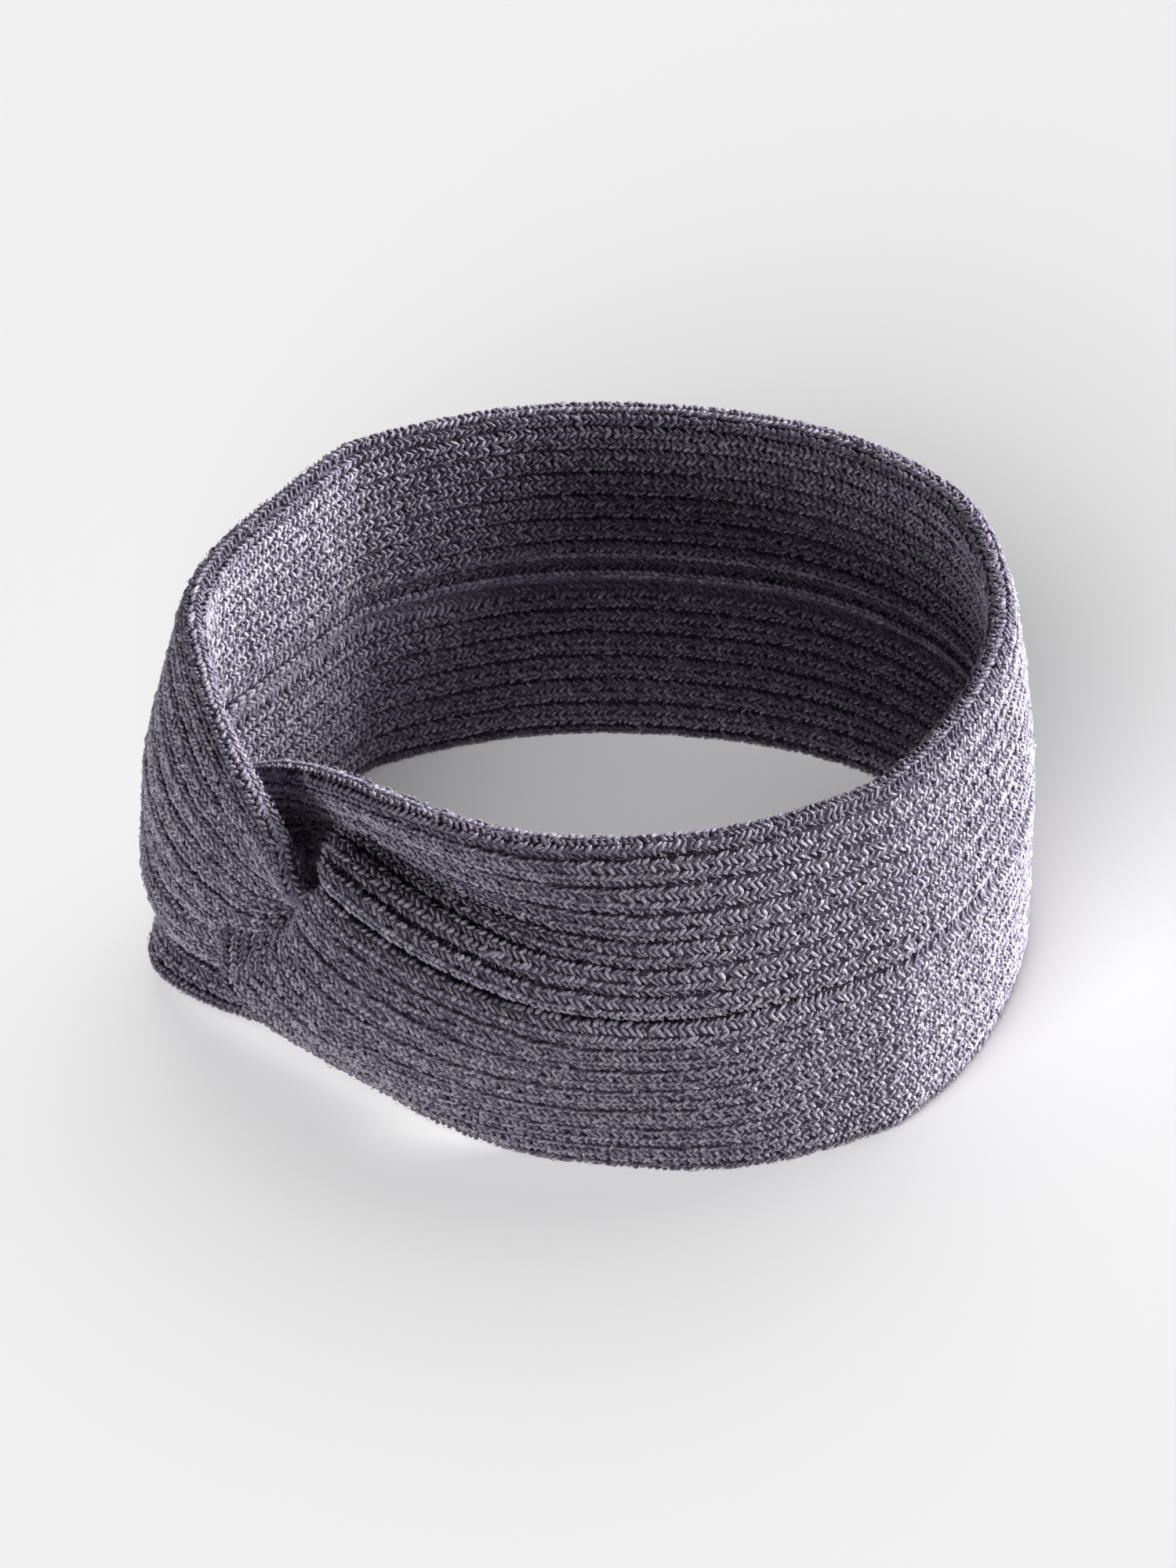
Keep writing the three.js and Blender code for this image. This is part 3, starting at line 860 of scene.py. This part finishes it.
# %% Scatter the fibres
def fibre_tree():
    tree = bpy.data.node_groups.new("stray_fibres", "GeometryNodeTree")
    sockets = [
        ("Cloth", "NodeSocketGeometry"), ("Yarn", "NodeSocketMaterial"),
        ("Fibres per square metre", "NodeSocketFloat"), ("Length", "NodeSocketFloat"),
        ("Thickness", "NodeSocketFloat"), ("Height over the cloth", "NodeSocketFloat"),
        ("Steepest", "NodeSocketFloat"), ("Seed", "NodeSocketInt"),
    ]
    for name, kind in sockets:
        tree.interface.new_socket(name, in_out="INPUT", socket_type=kind)
    tree.interface.new_socket("Fibres", in_out="OUTPUT", socket_type="NodeSocketGeometry")
    given = add(tree, "NodeGroupInput").outputs
    spindle = add(tree, "GeometryNodeMeshUVSphere", {"Segments": 3, "Rings": 2, "Radius": 0.5})
    thickness = add(
        tree, "ShaderNodeCombineXYZ", {"X": given["Thickness"], "Y": given["Thickness"], "Z": 1.0}
    )
    thin = add(
        tree, "GeometryNodeTransform",
        {"Geometry": spindle.outputs["Mesh"], "Scale": thickness.outputs[0]},
    )
    lying = add(
        tree, "GeometryNodeTransform",
        {"Geometry": thin.outputs["Geometry"], "Rotation": (0, np.pi / 2, 0)},
    )
    here = add(tree, "GeometryNodeInputPosition").outputs[0]
    along = add(tree, "ShaderNodeSeparateXYZ", {0: here}).outputs["X"]
    squared = add(tree, "ShaderNodeMath", {0: along, 1: along}, operation="MULTIPLY").outputs[0]
    bow = add(
        tree, "ShaderNodeMath", {0: squared, 1: -4.0, 2: 1.0}, operation="MULTIPLY_ADD"
    ).outputs[0]
    bent = add(
        tree, "ShaderNodeVectorMath", {0: (0.08, 0.18, 0.1), "Scale": bow}, operation="SCALE"
    )
    fibre = add(
        tree, "GeometryNodeSetPosition",
        {"Geometry": lying.outputs["Geometry"], "Offset": bent.outputs["Vector"]},
    )
    scattered = add(
        tree, "GeometryNodeDistributePointsOnFaces",
        {
            "Mesh": given["Cloth"],
            "Density": given["Fibres per square metre"],
            "Seed": given["Seed"],
        },
    )
    raised = add(
        tree, "ShaderNodeVectorMath",
        {0: scattered.outputs["Normal"], "Scale": given["Height over the cloth"]},
        operation="SCALE",
    )
    lifted = add(
        tree, "GeometryNodeSetPosition",
        {"Geometry": scattered.outputs["Points"], "Offset": raised.outputs["Vector"]},
    )
    lowest = add(
        tree, "ShaderNodeMath", {0: 0.0, 1: given["Steepest"]}, operation="SUBTRACT"
    ).outputs[0]
    least = add(tree, "ShaderNodeCombineXYZ", {"X": 0.0, "Y": lowest, "Z": 0.0})
    most = add(tree, "ShaderNodeCombineXYZ", {"X": 0.0, "Y": given["Steepest"], "Z": 6.283})
    turn = add(
        tree, "FunctionNodeRandomValue",
        {0: least.outputs[0], 1: most.outputs[0], "Seed": given["Seed"]},
        data_type="FLOAT_VECTOR",
    )
    turned = add(
        tree, "FunctionNodeRotateRotation",
        {"Rotation": scattered.outputs["Rotation"], "Rotate By": turn.outputs[0]},
        rotation_space="LOCAL",
    )
    short, long = [
        add(
            tree, "ShaderNodeMath", {0: given["Length"], 1: share}, operation="MULTIPLY"
        ).outputs[0]
        for share in (0.5, 1.5)
    ]
    size, tone = [
        add(
            tree, "FunctionNodeRandomValue",
            {2: least_value, 3: most_value, "Seed": given["Seed"]}, data_type="FLOAT",
        ).outputs[1]
        for least_value, most_value in ((short, long), (0.2, 0.8))
    ]
    toned = add(
        tree, "GeometryNodeStoreNamedAttribute",
        {"Geometry": lifted.outputs["Geometry"], "Name": "tone", "Value": tone},
        data_type="FLOAT", domain="POINT",
    )
    set_out = add(
        tree, "GeometryNodeInstanceOnPoints",
        {
            "Points": toned.outputs["Geometry"],
            "Instance": fibre.outputs["Geometry"],
            "Rotation": turned.outputs["Rotation"],
            "Scale": size,
        },
    )
    real = add(tree, "GeometryNodeRealizeInstances", {"Geometry": set_out.outputs["Instances"]})
    dyed = add(
        tree, "GeometryNodeSetMaterial",
        {"Geometry": real.outputs["Geometry"], "Material": given["Yarn"]},
    )
    add(tree, "NodeGroupOutput", {"Fibres": dyed.outputs["Geometry"]})
    return tree


FIBRE_TREE = fibre_tree()
FIBRES_A_SQUARE_METRE = 225000.0
FIBRE_LENGTH = 1.4
FIBRE_THICK = 0.13
FIBRE_HEIGHT = 0.72


def stray_fibres(name, seed):
    made = new_object(name, wall_mesh.copy())
    settings = {
        "Yarn": stray_yarn, "Fibres per square metre": FIBRES_A_SQUARE_METRE,
        "Length": FIBRE_LENGTH * MM, "Thickness": FIBRE_THICK / FIBRE_LENGTH,
        "Height over the cloth": FIBRE_HEIGHT * MM, "Steepest": 0.45, "Seed": seed,
    }
    made = baked(made, FIBRE_TREE, settings)
    keep_above_floor(made)
    print(name + ":", triangles_of(made), "triangles")
    return made


fuzz = [stray_fibres("stray_fibres_first", 31), stray_fibres("stray_fibres_second", 32)]

# %% [markdown]
# ## Join it all to the frame
#
# Each piece rides on the one body, and the solid that it stands for is hidden.

# %% Fasten the pieces
knit_pieces = [knit_wall, *stitches, *fuzz]
for piece in knit_pieces:
    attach(piece, "root")
    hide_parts("band")
seam_pieces = [(linking_chain, "seam_chain"), (loop_bed, "end_seam"), (loop_stitches, "end_seam")]
for piece, solid in seam_pieces:
    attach(piece, "root")
    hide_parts(solid)

# %% [markdown]
# ## Table, light and camera
#
# The headband stands on a plain white sheet in a studio. A large soft light stands low
# at its right side, a little behind it, so the right side and the inside of the left
# side are bright. The front gets a weak light that comes from the left, almost level, so
# that the front wall keeps it off the inside, and what the white sheet throws back.
#
# The sheet is lit by two soft lights of its own, from behind and from the front, which
# keep its shadows pale. Light linking says which light falls on what.

# %% Floor
FLOOR_HALF = 3000.0
floor_corners = np.array([(-1, -1, 0), (1, -1, 0), (1, 1, 0), (-1, 1, 0)]) * FLOOR_HALF
floor_mesh = mesh_of("floor", floor_corners, [(0, 1, 2, 3)])
paper = bpy.data.materials.new("matt_white_paper")
paper.use_nodes = True
sheet = paper.node_tree.nodes["Principled BSDF"].inputs
sheet["Base Color"].default_value = linear("#f3f3f3")
sheet["Roughness"].default_value = 0.9
sheet["Specular IOR Level"].default_value = 0.1
floor_mesh.materials.append(paper)
floor = new_object("floor", floor_mesh)

# %% Lights
def light_group(name, members):
    """The objects that a light falls on."""
    group = bpy.data.collections.new(name)
    for member in members:
        group.objects.link(member)
    return group


def soft_light(name, azimuth, elevation, spread, energy, lit):
    """A large soft light, given by the direction where it stands, in degrees."""
    light = bpy.data.lights.new(name, "SUN")
    light.energy = energy
    light.angle = np.radians(spread)
    made = bpy.data.objects.new(name, light)
    bpy.context.scene.collection.objects.link(made)
    turn, rise = np.radians(azimuth), np.radians(elevation)
    toward = Vector((np.cos(rise) * np.cos(turn), np.cos(rise) * np.sin(turn), np.sin(rise)))
    made.rotation_euler = toward.to_track_quat("Z", "Y").to_euler()
    made.light_linking.receiver_collection = lit
    return made


on_knit = light_group("lit_as_knit", knit_pieces + [piece for piece, _ in seam_pieces])
on_sheet = light_group("lit_as_sheet", [floor])
soft_light("side_light", 12, 24, 42, 9.3, on_knit)
soft_light("low_front_light", 214, 3, 18, 1.5, on_knit)
soft_light("back_light", 72, 60, 60, 1.2, on_sheet)
soft_light("front_light", 250, 34, 48, 3.6, on_sheet)

world = bpy.data.worlds.new("studio")
world.use_nodes = True
world.node_tree.nodes["Background"].inputs["Color"].default_value = (1, 1, 1, 1)
world.node_tree.nodes["Background"].inputs["Strength"].default_value = 0.01
bpy.context.scene.world = world
bpy.context.scene.view_settings.view_transform = "Standard"

# %% Camera
camera_data = bpy.data.cameras.new("camera")
camera_data.sensor_width = 36.0
camera_data.lens = 131.76
camera = bpy.data.objects.new("camera", camera_data)
bpy.context.scene.collection.objects.link(camera)
ELEVATION = np.radians(40)
target = Vector((-0.28, -2.34, 46.5)) * MM
back = Vector((0.0, -np.cos(ELEVATION), np.sin(ELEVATION)))
camera.location = target + back * 1.2
camera.rotation_euler = back.to_track_quat("Z", "Y").to_euler()
camera_data.clip_start, camera_data.clip_end = 0.05, 20.0
bpy.context.scene.camera = camera
